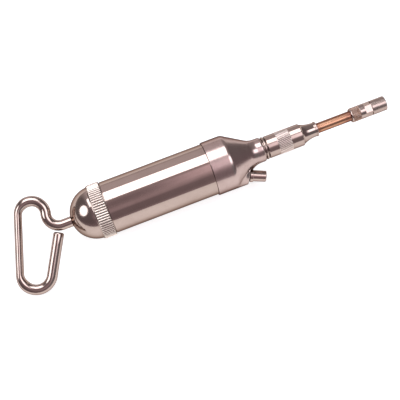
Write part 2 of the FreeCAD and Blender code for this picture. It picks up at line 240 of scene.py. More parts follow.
def smooth_min(a, b, k):
    """The smaller of a and b, with a rounded change from one to the other over a width of k."""
    h = np.clip(0.5 + (b - a) / (2 * k), 0, 1)
    return b * (1 - h) + a * h - k * h * (1 - h)


def smooth_max(a, b, k):
    """The larger of a and b, with a rounded change from one to the other over a width of k."""
    return -smooth_min(-a, -b, k)


def diamond_knurl(start, end, r_out, depth, teeth, lean=1.0, second=1.0):
    """Two crossing sets of slanted grooves, cut into an outer surface of radius r_out. second is how deep the
    second set is, as a share of the first."""
    pitch = math.tau * r_out / teeth

    def shape(x, r, angle):
        along = lean * (x - start) / pitch
        turn = angle * teeth / math.tau
        groove = np.maximum(1 - wave(turn + along), second * (1 - wave(turn - along)))
        cut = depth * np.clip(groove * 1.25 - 0.2, 0, 1) * window(x, start, end, KNURL_RUN_OUT)
        return np.where(r > r_out - depth, r - cut, r)

    return shape


# ---- materials ----

NICKEL = (0.450, 0.352, 0.306)
NICKEL_DARK = (0.415, 0.320, 0.276)
SATIN = (0.50, 0.385, 0.350)
SATIN_DARK = (0.45, 0.340, 0.305)
# Dark tints for the grazing reflection: painted shade along each part's limbs.
EDGE_PAINTED_SHADE = (0.24, 0.20, 0.19, 1)
SATIN_EDGE_PAINTED_SHADE = (0.10, 0.08, 0.08, 1)
COPPER_EDGE_PAINTED_SHADE = (0.10, 0.05, 0.04, 1)
# Knurl colours: a painted highlight on the crests and painted shade in the grooves.
CAP_CREST_PAINTED_HIGHLIGHT = (0.84, 0.73, 0.64)
CAP_GROOVE_PAINTED_SHADE = (0.20, 0.155, 0.13)
NUT_CREST_PAINTED_HIGHLIGHT = (0.92, 0.77, 0.69)
NUT_GROOVE_PAINTED_SHADE = (0.17, 0.125, 0.115)
COPPER = (0.53, 0.29, 0.18)
COPPER_DULL = (0.43, 0.22, 0.135)
# Copper's painted shade at its limbs.
COPPER_LIMB_PAINTED_SHADE = (0.22, 0.095, 0.06)
COPPER_BURNT = (0.16, 0.05, 0.045)
FLUX_STAIN = (0.36, 0.215, 0.15)


def node_adder(tree):
    """A function that adds a node of a kind, with its settings, to the tree."""
    def add(kind, **settings):
        node = tree.nodes.new(kind)
        for key, value in settings.items():
            setattr(node, key, value)
        return node

    return add


def base_tree(name):
    """A new node material, its principled shader and a function that adds a node."""
    material = bpy.data.materials.new(name)
    material.use_nodes = True
    tree = material.node_tree
    return material, tree.links.new, tree.nodes["Principled BSDF"], node_adder(tree)


def local_coordinates(add, link, scale):
    """The pump's own coordinates in mm, times the scale along each axis."""
    place = add("ShaderNodeTexCoord")
    to_local = add("ShaderNodeMapping", vector_type="TEXTURE")
    to_local.inputs["Location"].default_value = ORIGIN
    to_local.inputs["Rotation"].default_value = (ROLL, 0, 0)
    to_local.inputs["Scale"].default_value = (MM, MM, MM)
    stretch = add("ShaderNodeMapping")
    stretch.inputs["Scale"].default_value = scale
    link(place.outputs["Object"], to_local.inputs["Vector"])
    link(to_local.outputs["Vector"], stretch.inputs["Vector"])
    return stretch.outputs["Vector"]


def noise(add, link, scale, detail=4.0, rough=0.6, distortion=0.0):
    """Noise in the pump's coordinates, with the given number of cells per mm along each axis."""
    texture = add("ShaderNodeTexNoise")
    texture.inputs["Scale"].default_value = 1.0
    texture.inputs["Detail"].default_value = detail
    texture.inputs["Roughness"].default_value = rough
    texture.inputs["Distortion"].default_value = distortion
    link(local_coordinates(add, link, scale), texture.inputs["Vector"])
    return texture.outputs["Fac"]


def ranged(add, link, value, low, high, from_low=0.3, from_high=0.7, ease="LINEAR"):
    """The value mapped to the range from low to high."""
    node = add("ShaderNodeMapRange", interpolation_type=ease)
    node.inputs["From Min"].default_value = from_low
    node.inputs["From Max"].default_value = from_high
    node.inputs["To Min"].default_value = low
    node.inputs["To Max"].default_value = high
    link(value, node.inputs["Value"])
    return node.outputs["Result"]


def blended(add, link, factor, first, second):
    """A colour between first and second, each a colour or another node's output."""
    node = add("ShaderNodeMix", data_type="RGBA")
    link(factor, node.inputs["Factor"])
    for value, socket in ((first, node.inputs[6]), (second, node.inputs[7])):
        if isinstance(value, tuple):
            socket.default_value = (*value, 1)
        else:
            link(value, socket)
    return node.outputs[2]


def summed(add, link, first, second, operation="ADD"):
    """Two values, each a number or another node's output, put together by a maths node."""
    node = add("ShaderNodeMath", operation=operation)
    for i, value in enumerate((first, second)):
        if isinstance(value, float):
            node.inputs[i].default_value = value
        else:
            link(value, node.inputs[i])
    return node.outputs[0]


def bumped(add, link, height, distance_mm, strength):
    """The surface's direction with a small relief of the given height laid on it."""
    node = add("ShaderNodeBump")
    node.inputs["Distance"].default_value = distance_mm * MM
    node.inputs["Strength"].default_value = strength
    link(height, node.inputs["Height"])
    return node.outputs["Normal"]


def banded(add, link, start, end):
    """1 between two places along the pump's axis and 0 elsewhere."""
    along = add("ShaderNodeSeparateXYZ")
    link(local_coordinates(add, link, (1, 1, 1)), along.inputs[0])
    rising = ranged(add, link, along.outputs["X"], 0.0, 1.0, start - 0.1, start + 0.1)
    falling = ranged(add, link, along.outputs["X"], 1.0, 0.0, end - 0.1, end + 0.1)
    return summed(add, link, rising, falling, "MULTIPLY")


def painted_groove_shade(add, link, crest_r, depth):
    """1 at the foot of a knurl's grooves and 0 on its crests, by the distance from the pump's axis: the mask of
    the painted shade in the grooves.
    """
    place = add("ShaderNodeSeparateXYZ")
    link(local_coordinates(add, link, (1, 1, 1)), place.inputs[0])
    squares = [summed(add, link, place.outputs[axis], 2.0, "POWER") for axis in "YZ"]
    from_axis = summed(add, link, summed(add, link, *squares), 0.5, "POWER")
    return ranged(add, link, from_axis, 1.0, 0.0, crest_r - depth, crest_r - 0.15 * depth)


def metal(name, light, dark, roughness, lines, line_bump, around=False, handled=0.0, knurl=None,
          edge=EDGE_PAINTED_SHADE):
    """Bright worked metal: fine lines left by polishing or turning, faint clouding, and dull handled patches.
    around puts the lines round the pump's axis rather than along it. knurl is a knurled band's (start, end,
    crest radius, depth, crest colour as a painted highlight, groove colour as painted shade, extra roughness)."""
    material, link, shader, add = base_tree(name)
    fine = (lines, 0.05, 0.05) if around else (0.02, lines, lines)
    coarse = (lines / 5, 0.03, 0.03) if around else (0.01, lines / 5, lines / 5)
    fine_lines = noise(add, link, fine, 3.0, 0.7)
    coarse_lines = noise(add, link, coarse, 2.0, 0.5)
    clouds = noise(add, link, (0.09, 0.12, 0.12), 5.0, 0.62, 0.4)
    shader.inputs["Metallic"].default_value = 1.0
    colour = blended(add, link, ranged(add, link, clouds, 0.0, 1.0, 0.35, 0.65), light, dark)
    streaks = ranged(add, link, fine_lines, roughness * 0.75, roughness * 1.3)
    patches = ranged(add, link, clouds, 0.0, handled, 0.5, 0.72)
    gloss = summed(add, link, streaks, patches)
    if knurl:
        start, end, crest_r, depth, crest, groove, matt = knurl
        band = banded(add, link, start, end)
        # Painted highlight on the knurl's crests and painted shade in its grooves.
        knurled = blended(add, link, painted_groove_shade(add, link, crest_r, depth), crest, groove)
        colour = blended(add, link, band, colour, knurled)
        gloss = summed(add, link, gloss, summed(add, link, band, matt, "MULTIPLY"))
    link(colour, shader.inputs["Base Color"])
    link(gloss, shader.inputs["Roughness"])
    height = summed(add, link, fine_lines, coarse_lines)
    link(bumped(add, link, height, 0.01, line_bump), shader.inputs["Normal"])
    # The dark edge tint is painted shade along the limbs.
    shader.inputs["Specular Tint"].default_value = edge
    return material


def plain(name, light, dark, roughness, metallic=0.0, grain=3.0, bump=0.15):
    """Hidden or small parts: two-tone clouding, grain in the gloss and a fine surface."""
    material, link, shader, add = base_tree(name)
    clouds = noise(add, link, (0.4, 0.4, 0.4), 4.0, 0.6)
    fine = noise(add, link, (grain, grain, grain), 4.0, 0.65)
    shader.inputs["Metallic"].default_value = metallic
    link(blended(add, link, ranged(add, link, clouds, 0.0, 1.0), light, dark), shader.inputs["Base Color"])
    link(ranged(add, link, fine, roughness * 0.8, min(1.0, roughness * 1.2)), shader.inputs["Roughness"])
    link(bumped(add, link, fine, 0.02, bump), shader.inputs["Normal"])
    return material


def copper(name):
    """Drawn copper tube: lengthwise draw lines, painted shade towards its limbs, and heat-browned towards both
    ends of what shows.
    """
    material, link, shader, add = base_tree(name)
    lines = noise(add, link, (0.03, 9.0, 9.0), 3.0, 0.7)
    clouds = noise(add, link, (0.25, 0.5, 0.5), 5.0, 0.6, 0.5)
    along = add("ShaderNodeSeparateXYZ")
    link(local_coordinates(add, link, (1, 1, 1)), along.inputs[0])
    near_tip = ranged(add, link, along.outputs["X"], 0.0, 1.0, HOLDER_X - 7.0, HOLDER_X - 0.5)
    near_nut = ranged(add, link, along.outputs["X"], 1.0, 0.0, NUT_END_X, NUT_END_X + 2.5)
    browning = summed(add, link, near_tip, near_nut, "MAXIMUM")
    browned = summed(add, link, browning, ranged(add, link, clouds, 0.25, 1.1), "MULTIPLY")
    clean = blended(add, link, ranged(add, link, clouds, 0.0, 1.0), COPPER, COPPER_DULL)
    shader.inputs["Metallic"].default_value = 1.0
    # A dark edge tint: painted shade along the tube's limbs.
    shader.inputs["Specular Tint"].default_value = COPPER_EDGE_PAINTED_SHADE
    # Painted shade: the base colour darkens towards the tube's limbs.
    facing = add("ShaderNodeLayerWeight").outputs["Facing"]
    painted_limb_shade = blended(add, link, ranged(add, link, facing, 0.0, 1.0, 0.22, 0.80), clean, COPPER_LIMB_PAINTED_SHADE)
    link(blended(add, link, browned, painted_limb_shade, COPPER_BURNT), shader.inputs["Base Color"])
    link(summed(add, link, ranged(add, link, lines, 0.16, 0.3), summed(add, link, browned, 0.18, "MULTIPLY")),
         shader.inputs["Roughness"])
    link(bumped(add, link, lines, 0.01, 0.35), shader.inputs["Normal"])
    return material


def tarnished(name, start, end):
    """Polished nickel whose knurled band, from start to end along the axis, has kept brown flux stains."""
    material, link, shader, add = base_tree(name)
    lines = noise(add, link, (10.0, 0.08, 0.08), 3.0, 0.7)
    clouds = noise(add, link, (0.9, 0.9, 0.9), 5.0, 0.62, 0.6)
    patchy = ranged(add, link, clouds, 0.35, 1.0, 0.35, 0.65)
    stained = summed(add, link, banded(add, link, start, end), patchy, "MULTIPLY")
    shader.inputs["Metallic"].default_value = 1.0
    # A dark edge tint: painted shade along the limbs.
    shader.inputs["Specular Tint"].default_value = EDGE_PAINTED_SHADE
    link(blended(add, link, stained, NICKEL, FLUX_STAIN), shader.inputs["Base Color"])
    dulled = summed(add, link, stained, 0.25, "MULTIPLY")
    link(summed(add, link, ranged(add, link, lines, 0.15, 0.24), dulled), shader.inputs["Roughness"])
    link(bumped(add, link, lines, 0.008, 0.25), shader.inputs["Normal"])
    return material


polished_steel = metal(
    "polished_steel", NICKEL, NICKEL_DARK, roughness=0.07, lines=9.0, line_bump=0.10, handled=0.05)
polished_cap = metal(
    "polished_cap", NICKEL, NICKEL_DARK, roughness=0.12, lines=9.0, line_bump=0.04, around=True, handled=0.04,
    knurl=(CAP_KNURL_X, CAP_FRONT_X, RING_R, CAP_KNURL_DEPTH, CAP_CREST_PAINTED_HIGHLIGHT, CAP_GROOVE_PAINTED_SHADE, 0.12))
satin_head = metal(
    "satin_head", SATIN, SATIN_DARK, roughness=0.20, lines=12.0, line_bump=0.08, around=True, handled=0.06,
    edge=SATIN_EDGE_PAINTED_SHADE)
polished_rod = metal(
    "polished_rod", NICKEL, NICKEL_DARK, roughness=0.11, lines=5.0, line_bump=0.10, handled=0.07)
polished_nut = metal(
    "polished_nut", NICKEL, NICKEL_DARK, roughness=0.10, lines=10.0, line_bump=0.14, around=True,
    handled=0.05, knurl=(NUT_KNURL_X, NUT_KNURL_END_X, NUT_R, NUT_KNURL_DEPTH, NUT_CREST_PAINTED_HIGHLIGHT, NUT_GROOVE_PAINTED_SHADE, 0.26))
polished_fitting = metal(
    "polished_fitting", NICKEL, NICKEL_DARK, roughness=0.12, lines=9.0, line_bump=0.14, around=True,
    handled=0.05)
satin_sleeve = metal(
    "satin_sleeve", NICKEL, NICKEL_DARK, roughness=0.26, lines=10.0, line_bump=0.03, around=True,
    handled=0.06)
copper_metal = copper("drawn_copper")
holder_metal = tarnished("stained_nickel", HOLDER_KNURL_X, HOLDER_KNURL_END_X)

SLOT_MATERIALS = {
    "bronze": plain("machined_bronze", (0.55, 0.36, 0.18), (0.46, 0.28, 0.13), 0.35, 1.0),
    "brass_parts": plain("machined_brass", (0.76, 0.58, 0.28), (0.66, 0.48, 0.20), 0.28, 1.0),
    "zinc_steel": plain("zinc_plate", (0.62, 0.62, 0.62), (0.52, 0.53, 0.54), 0.35, 1.0),
    "spring_steel": plain("spring_wire", (0.50, 0.50, 0.51), (0.40, 0.40, 0.42), 0.3, 1.0),
    "piston_aluminium": plain("turned_aluminium", (0.78, 0.78, 0.79), (0.70, 0.70, 0.72), 0.32, 1.0),
    "white_ptfe": plain("waxy_ptfe", (0.86, 0.86, 0.83), (0.80, 0.79, 0.75), 0.45),
    "black_rubber": plain("matt_rubber", (0.035, 0.035, 0.036), (0.022, 0.022, 0.023), 0.7),
    "nickel_fittings": polished_fitting,
    "bright_steel": polished_steel,
    "knurled_cap": polished_cap,
    "satin_head": satin_head,
    "bent_rod": polished_rod,
    "clamping_nut": polished_nut,
    "copper_tube": copper_metal,
}


def stand_in(piece, body, node):
    """The piece rides on a body and stands for its CAD node."""
    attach(piece, body)
    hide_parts(node)


# ---- barrel and end cap ----

def build_barrel():
    """Plain polished tube, with a narrower spigot at each end for the cap's and the head's threads."""
    bore_r = 14.5
    rear_x = local_x("barrel_tube", 0)
    outline = traced([
        (rear_x, bore_r), (rear_x, THREAD_R - 0.3), (rear_x + 0.3, THREAD_R), (CAP_FRONT_X + 0.3, THREAD_R),
        (CAP_FRONT_X + 0.3, BARREL_R - 0.15), (CAP_FRONT_X + 0.45, BARREL_R), (-0.15, BARREL_R),
        (0, BARREL_R - 0.15), (0, THREAD_R), (BARREL_FRONT_X - 0.3, THREAD_R),
        (BARREL_FRONT_X, THREAD_R - 0.3), (BARREL_FRONT_X, bore_r), (rear_x, bore_r),
    ], step=4.0)[:-1]
    piece = turned("barrel", outline, polished_steel, around=256)
    stand_in(piece, "pump", "barrel_tube")


def dome_x(sphere_r, at_r):
    """The local x of a sphere round the dome's centre, at a distance from the pump's axis."""
    return DOME_CENTRE_X - math.sqrt(sphere_r**2 - at_r**2)


def cap_outline():
    """The cap's section: dome, step, rim and skirt outside, then its thread, shoulder and the rod's boss."""
    dome_r = 16.0
    inner_r = 14.2
    hole_r = ROD_R + 0.08
    boss_r = 5.8
    bush_r = 4.6
    boss_x = DOME_CENTRE_X - 5.0
    bush_x = DOME_CENTRE_X - 13.5
    shoulder_x = CAP_FRONT_X - 6.9
    thread_r = THREAD_R + THREAD_ROOM
    return traced([
        (dome_x(dome_r, hole_r), hole_r), (dome_x(dome_r, 15.9), 15.9, dome_x(dome_r, 10.0), 10.0),
        (SKIRT_X - 0.02, 15.95), (SKIRT_X, 16.2), (SKIRT_X + 0.1, 16.38), (CAP_KNURL_X - 0.12, 16.42),
        (CAP_KNURL_X, RIM_R - 0.25), (CAP_KNURL_X + 0.3, RING_R), (CAP_FRONT_X - 0.45, RING_R),
        (CAP_FRONT_X, RING_R - 0.4), (CAP_FRONT_X, thread_r), (shoulder_x, thread_r),
        (shoulder_x, inner_r), (dome_x(inner_r, boss_r), boss_r, dome_x(inner_r, 11.0), 11.0),
        (boss_x, boss_r), (boss_x, bush_r), (bush_x, bush_r), (bush_x, hole_r),
        (dome_x(dome_r, hole_r), hole_r),
    ], step=0.7)[:-1]


def build_cap():
    """Domed cap: a step and a smooth rim, then a straight-knurled skirt."""
    def knurl(x, r, angle):
        groove = np.clip(0.62 - 0.75 * np.cos(angle * CAP_RIDGES), 0, 1)
        ends = window(x, CAP_KNURL_X + 0.05, CAP_FRONT_X - 0.05, 0.35)
        return np.where(r > RIM_R - 0.3, r - CAP_KNURL_DEPTH * groove * ends, r)

    columns = CAP_RIDGES * COLUMNS_PER_RIDGE
    piece = turned("domed_cap", cap_outline(), polished_cap, around=columns, shape=knurl)
    stand_in(piece, "cap", "end_cap")


# ---- head ----

def head_outline():
    """The head's section: band, shoulder, cone and neck outside, then its bore and thread."""
    inner_r = 4.5
    thread_r = THREAD_R + THREAD_ROOM
    return traced([
        (0, thread_r), (0, RING_R - 0.25), (0.08, RING_R - 0.08), (0.25, RING_R),
        (HEAD_BAND_END_X - 1.0, RING_R),
        (HEAD_BAND_END_X + 1.8, RING_R - 0.925, HEAD_BAND_END_X + 0.476, RING_R - 0.238),
        (25.2, 9.1), (31.1, NECK_R, 27.9, 7.9), (HEAD_END_X - 1.3, NECK_R - 0.02),
        (HEAD_END_X, NECK_R - 0.9, HEAD_END_X - 0.38, NECK_R - 0.34), (HEAD_END_X, inner_r), (23.2, inner_r),
        (12.6, 13.2), (9.6, 13.2), (9.6, thread_r), (0, thread_r),
    ], step=0.3)[:-1]


def lugged(outline):
    """A shape that raises the head's outer wall into the lug, which the vent button's flat pad cuts off."""
    outer_end = next(i for i, p in enumerate(outline) if p[0] > HEAD_END_X - 0.001)
    lean = math.tan(STUB_ANGLE)

    def shape(x, r, angle):
        turn = angle % math.tau - math.pi
        near = np.abs(turn) < math.asin(LUG_R / LUG_T) - 0.01
        sine = np.where(near, np.sin(turn), 0)
        lug = LUG_T * np.cos(turn) + np.sqrt(np.maximum(LUG_R**2 - (LUG_T * sine)**2, 0))
        face = (STUB_FACE[1] + 0.02 - (x - STUB_FACE[0]) / lean) / np.cos(turn)
        pad = smooth_min(lug, face, PAD_BLEND)
        raised = np.minimum(smooth_max(r, np.where(near & (x > LUG_X), pad, 0), LUG_BLEND), RING_R)
        outer = np.arange(r.shape[0])[:, None] <= outer_end
        return np.where(outer & near & (x > LUG_X) & (x < LUG_END_X), raised, r)

    return shape


def build_head():
    """Turned head whose band runs out into a lug, with a flat pad for the vent button and its port. Its
    columns are closer together round the lug, which is on the side at half a turn."""
    close = np.radians(np.arange(-36, 36, 0.5))
    far = np.radians(np.arange(36, 324, 1.5))
    angles = np.concatenate([close, far]) + math.pi
    outline = head_outline()
    piece = turned("head", outline, satin_head, shape=lugged(outline), angles=angles)
    cut_round(piece, start=-9.0, end=12.0, radius=2.6)
    cut_round(piece, start=0.0, end=14.0, radius=4.3)
    sharpen(piece, 35)
    stand_in(piece, "pump", "pump_head")


def stub_place():
    """The vent button's own axes: x = 0 at the pad's face."""
    at_pad = Matrix.Translation((STUB_FACE[0], -STUB_FACE[1], 0))
    return TO_ROW @ at_pad @ Matrix.Rotation(-STUB_ANGLE, 4, "Z")


def cut_round(piece, start, end, radius):
    """Cuts a round hole along the vent button's axis."""
    cutter = turned("cutter", [(start, 0), (start, radius), (end, radius), (end, 0)], satin_head, around=96,
                    place=stub_place())
    cut = piece.modifiers.new("cut", "BOOLEAN")
    cut.operation = "DIFFERENCE"
    cut.solver = "EXACT"
    cut.object = cutter
    with bpy.context.temp_override(object=piece):
        bpy.ops.object.modifier_apply(modifier=cut.name)
    bpy.data.objects.remove(cutter)


def sharpen(piece, degrees):
    """Keeps edges crisp where faces meet at more than this angle."""
    piece.data.set_sharp_from_angle(angle=math.radians(degrees))


def build_vent():
    """The side stub: a flanged bush in the pad and the round button that slides in it."""
    collar = traced([
        (-5.6, 1.3), (-5.6, 2.6), (0.6, 2.6), (0.6, 3.65), (0.66, 3.8), (0.8, 3.88), (2.3, 3.88),
        (2.45, 3.82), (2.5, 3.7), (2.48, 3.6), (2.35, 3.45), (0.9, 3.45), (0.9, 2.05), (-2.5, 2.05),
        (-2.5, 1.3), (-5.6, 1.3),
    ])[:-1]
    piece = turned("vent_bush", collar, polished_fitting, around=96, place=stub_place())
    sharpen(piece, 50)
    stand_in(piece, "pump", "vent_collar")
    button = traced([
        (2.2, 0), (2.2, 3.3), (2.3, 3.4), (9.8, 3.33), (10.45, 2.7, 10.28, 3.15), (10.45, 1.5), (10.2, 0),
    ])
    piece = turned("vent_cap", button, polished_fitting, around=96, place=stub_place())
    stand_in(piece, "button", "vent_button")


# ---- neck, nut and nozzle ----

def build_neck():
    """The union that shows as a groove beyond the neck, and the rolled bead ring on it."""
    ring_x = local_x("lock_ring", 0)
    end_x = local_x("lock_ring", 1)
    union = traced([
        (33.8, 2.0), (33.8, 4.5), (HEAD_END_X, 4.5), (HEAD_END_X, 5.9), (ring_x, 5.9), (ring_x, 5.2),
        (47.6, 5.2), (48.0, 4.8), (48.0, 4.3), (46.6, 4.3), (46.6, TUBE_R), (44.2, TUBE_R), (44.2, 2.0),
        (33.8, 2.0),
    ])[:-1]
    piece = turned("union", union, polished_fitting, around=128)
    sharpen(piece, 50)
    stand_in(piece, "pump", "neck_union")
    ring = traced([
        (ring_x, 5.2), (ring_x, NUT_R - 0.35), ((ring_x + end_x) / 2, NUT_R, ring_x + 0.2, NUT_R - 0.1),
        (end_x, NUT_R - 0.35, end_x - 0.2, NUT_R - 0.1), (end_x, 5.2), (ring_x, 5.2),
    ], step=0.1)[:-1]
    piece = turned("bead_ring", ring, polished_fitting, around=128)
    sharpen(piece, 50)
    stand_in(piece, "pump", "lock_ring")


def fine_between(outline, start, end, step, above):
    """The outline with extra points along its outer wall, above a radius, between two places on the axis."""
    out = []
    for (x0, r0), (x1, r1) in zip(outline, outline[1:]):
        out.append((x0, r0))
        if min(r0, r1) > above and x1 > start and x0 < end and x1 > x0:
            count = max(1, math.ceil((x1 - x0) / step))
            out += [(x0 + (x1 - x0) * i / count, r0 + (r1 - r0) * i / count) for i in range(1, count)]
    return out + [outline[-1]]


def build_nut():
    """Clamping nut: a fine diamond-knurled band between polished ones, and a hollow-curved nose."""
    nose_x = 59.4
    lip_x = NUT_END_X - 1.2
    inside = TUBE_R + 0.1
    plain_r = NUT_R - 0.14
    knurl_start = NUT_KNURL_X
    knurl_end = NUT_KNURL_END_X
    teeth = 22
    outline = traced([
        (NUT_X, 5.25), (NUT_X, NUT_R - 0.45), (NUT_X + 0.1, NUT_R - 0.25), (NUT_X + 0.35, plain_r),
        (knurl_start - 0.12, plain_r), (knurl_start + 0.03, NUT_R), (knurl_end - 0.03, NUT_R),
        (knurl_end + 0.12, plain_r),
        (nose_x - 0.35, NUT_R - 0.12), (nose_x - 0.12, NUT_R - 0.2), (nose_x, 6.4),
        (lip_x - 0.8, 4.35, 62.5, 5.17), (lip_x - 0.1, 4.35), (lip_x, 4.55), (NUT_END_X - 0.2, 4.55),
        (NUT_END_X - 0.05, 4.5), (NUT_END_X, 4.35), (NUT_END_X, inside), (54.9, inside), (54.9, 3.9),
        (49.6, 4.85), (48.6, 4.85), (48.6, 5.25), (NUT_X, 5.25),
    ], step=2.0)[:-1]
    outline = fine_between(outline, knurl_start, knurl_end, 0.08, 6.5)
    shape = diamond_knurl(knurl_start, knurl_end, NUT_R, NUT_KNURL_DEPTH, teeth, lean=-1.35, second=0.3)
    piece = turned("knurled_nut", outline, polished_nut, around=teeth * 20, shape=shape)
    sharpen(piece, 60)
    stand_in(piece, "nut", "nose_nut")


def build_pipe():
    """The copper tube."""
    tube = traced([
        (TUBE_X, 2.1), (TUBE_X, TUBE_R), (TUBE_END_X, TUBE_R), (TUBE_END_X, 2.1), (TUBE_X, 2.1),
    ], step=2.0)[:-1]
    piece = turned("copper_pipe", tube, copper_metal, around=96)
    stand_in(piece, "pump", "nozzle_tube")


def build_socket():
    """The socket on the tube's end: a cross-knurled band, then six flats."""
    hex_x = HOLDER_X + 9.1
    hex_end = SLEEVE_X - 0.15
    knurl_start = HOLDER_KNURL_X
    knurl_end = HOLDER_KNURL_END_X
    teeth = 36
    depth = 0.2
    holder = traced([
        (HOLDER_X, TUBE_R), (HOLDER_X, TIP_R - 0.5), (HOLDER_X + 0.12, TIP_R - 0.25),
        (HOLDER_X + 0.5, TIP_R),
        (knurl_start - 0.1, TIP_R), (knurl_end + 0.2, TIP_R), (hex_x, TIP_R), (hex_x + 0.12, TIP_R),
        (hex_end - 0.12, TIP_R), (hex_end, TIP_R), (SLEEVE_X, TIP_R), (SLEEVE_X, 3.3), (SLEEVE_X + 4.0, 3.3),
        (SLEEVE_X + 4.0, 1.9), (HOLDER_X + 6.7, 1.9), (HOLDER_X + 6.7, TUBE_R), (HOLDER_X, TUBE_R),
    ], step=1.0)[:-1]
    holder = fine_between(holder, knurl_start, knurl_end, 0.09, 4.0)
    knurled = diamond_knurl(knurl_start, knurl_end, TIP_R, depth, teeth, lean=0.7)

    def shape(x, r, angle):
        sixth = math.tau / 6
        from_flat = (angle % sixth) - sixth / 2
        flat = (TIP_R + 0.02) * math.cos(sixth / 2) / np.cos(from_flat)
        flats = np.where((x > hex_x + 0.06) & (x < hex_end - 0.06), np.minimum(r, flat), r)
        return np.where(r > TIP_R - 0.05, knurled(x, flats, angle), r)

    piece = turned("nozzle_socket", holder, holder_metal, around=teeth * 10, shape=shape)
    sharpen(piece, 50)
    stand_in(piece, "pump", "tip_holder")


def build_sleeve():
    """The smooth sleeve at the very end."""
    sleeve = traced([
        (SLEEVE_X, 3.3), (SLEEVE_X, TIP_R - 0.1), (SLEEVE_X + 0.1, TIP_R), (TIP_END_X - 0.5, TIP_R),
        (TIP_END_X, TIP_R - 0.5, TIP_END_X - 0.15, TIP_R - 0.15), (TIP_END_X, 3.05), (TIP_END_X - 0.15, 2.9),
        (SLEEVE_X + 4.8, 2.9), (SLEEVE_X + 4.8, 3.3), (SLEEVE_X, 3.3),
    ], step=1.0)[:-1]
    piece = turned("nozzle_sleeve", sleeve, satin_sleeve, around=128)
    sharpen(piece, 50)
    stand_in(piece, "tip", "tip_sleeve")


# ---- handle ----

def bend(centre, radius, start, end):
    """Points along a bend of the handle's centreline, in the loop's plane (x, distance from the axis)."""
    steps = max(8, round(abs(end - start) * radius / 0.35))
    return [
        centre + Vector((math.cos(a), math.sin(a))) * radius for a in np.linspace(start, end, steps + 1)
    ]


def eased(values):
    """Shares from 0 to 1 with soft ends."""
    v = np.clip(values, 0, 1)
    return v * v * (3 - 2 * v)


def handle_path():
    """The handle's stations (point, radius, share of flattening), from the piston's shoulder to the prong's
    end. The loop's outer bar was pressed a little flat between its two bends."""
    s_r = 7.6
    s_centre = Vector((-93.3, -s_r))
    s_turn = math.radians(105.7)
    top_r = 8.2
    low_r = 9.5
    low_centre = Vector((-118.3, 21.6))
    prong_end = Vector((-97.6, 4.2))
    rod = ((6.6, 2.1), (6.2, 2.5), (-14.9, 2.5), (-14.91, BAR_R), (-60.0, BAR_R))
    way = Vector((-math.sin(s_turn), math.cos(s_turn)))
    top_centre = s_centre + way * (s_r + top_r)
    between = low_centre - top_centre
    bar = math.atan2(between.y, between.x) + math.acos((top_r - low_r) / between.length) - math.tau
    to_end = prong_end - low_centre
    leave = math.atan2(to_end.y, to_end.x) + math.acos(low_r / to_end.length) - math.tau
    top = bend(top_centre, top_r, s_turn - math.pi / 2, bar)
    low = bend(low_centre, low_r, bar, leave)
    path = [(Vector((x, 0)), r, 0.0) for x, r in rod]
    path += [(p, BAR_R, 0.0) for p in bend(s_centre, s_r, math.pi / 2, math.pi / 2 + s_turn)]
    path += zip(top, [BAR_R] * len(top), eased(np.linspace(-1.5, 1, len(top))))
    bar_points = [top[-1].lerp(low[0], f) for f in np.linspace(0.05, 0.95, 12)]
    path += [(p, BAR_R, 1.0) for p in bar_points]
    path += zip(low, [BAR_R] * len(low), eased(np.linspace(1, -2.2, len(low))))
    run = (prong_end - low[-1]).normalized()
    path += [(low[-1].lerp(prong_end, f), BAR_R, 0.0) for f in (0.25, 0.5, 0.75)]
    rounding = ((-0.1, 0.0), (0.0, 0.03), (0.3, 0.16), (0.55, 0.38), (0.75, 0.68), (0.86, 1.0), (0.9, 1.35))
    path += [(prong_end + run * ahead, BAR_R - cut, 0.0) for ahead, cut in rounding]
    return path


def build_handle():
    """Piston rod and loop, one bent round bar."""
    sides = np.linspace(0, math.tau, BAR_SIDES, endpoint=False)
    path = handle_path()
    points = []
    for i, (p, r, flat) in enumerate(path):
        ahead = (path[min(i + 1, len(path) - 1)][0] - path[max(i - 1, 0)][0]).normalized()
        across = Vector((-ahead.y, ahead.x))
        for a in sides:
            q = p + across * (r * (1 - BAR_FLATTENING * flat) * math.cos(a))
            points.append((q.x, -q.y, r * math.sin(a)))
    quads = ring_quads(len(path), len(sides)) + end_faces(points, len(sides))
    piece = mesh_object("loop_handle", points, quads, polished_rod)
    sharpen(piece, 50)
    stand_in(piece, "handle", "handle_rod")


# ---- springs ----

def build_spring(name, node, body, x0, x1, r_mean, r_wire, turns, place=TO_ROW):
    """A coil about its axis, from x0 to x1 over its wire."""
    steps = turns * COIL_STEPS
    sides = WIRE_SIDES
    points = []
    for i in range(steps + 1):
        a = math.tau * turns * i / steps
        x = x0 + r_wire + (x1 - x0 - 2 * r_wire) * i / steps
        for k in range(sides):
            b = math.tau * k / sides
            r = r_mean + r_wire * math.cos(b)
            points.append((x + r_wire * math.sin(b), r * math.cos(a), r * math.sin(a)))
    quads = ring_quads(steps + 1, sides) + end_faces(points, sides)
    piece = mesh_object(name, points, quads, SLOT_MATERIALS["spring_steel"], place)
    stand_in(piece, body, node)
    return piece


def build_springs():
    """The three coils: the piston's, the button's and the ball valve's."""
    seat_x = DOME_CENTRE_X - 4.0
    piston_x = -14.0
    spring = build_spring("piston_spring", "return_spring", "cap", seat_x, piston_x,
                          r_mean=6.6, r_wire=0.6, turns=13)
    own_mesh(spring)
    foot_x = -2.5
    top_x = 2.2
    spring = build_spring("button_spring", "vent_spring", "pump", foot_x, top_x,
                          r_mean=1.5, r_wire=0.22, turns=6, place=stub_place())
    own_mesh(spring)
    clip_x = 24.55
    ball_x = 26.54
    spring = build_spring("ball_spring", "valve_spring", "pump", clip_x, ball_x,
                          r_mean=1.75, r_wire=0.12, turns=3)
    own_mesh(spring)


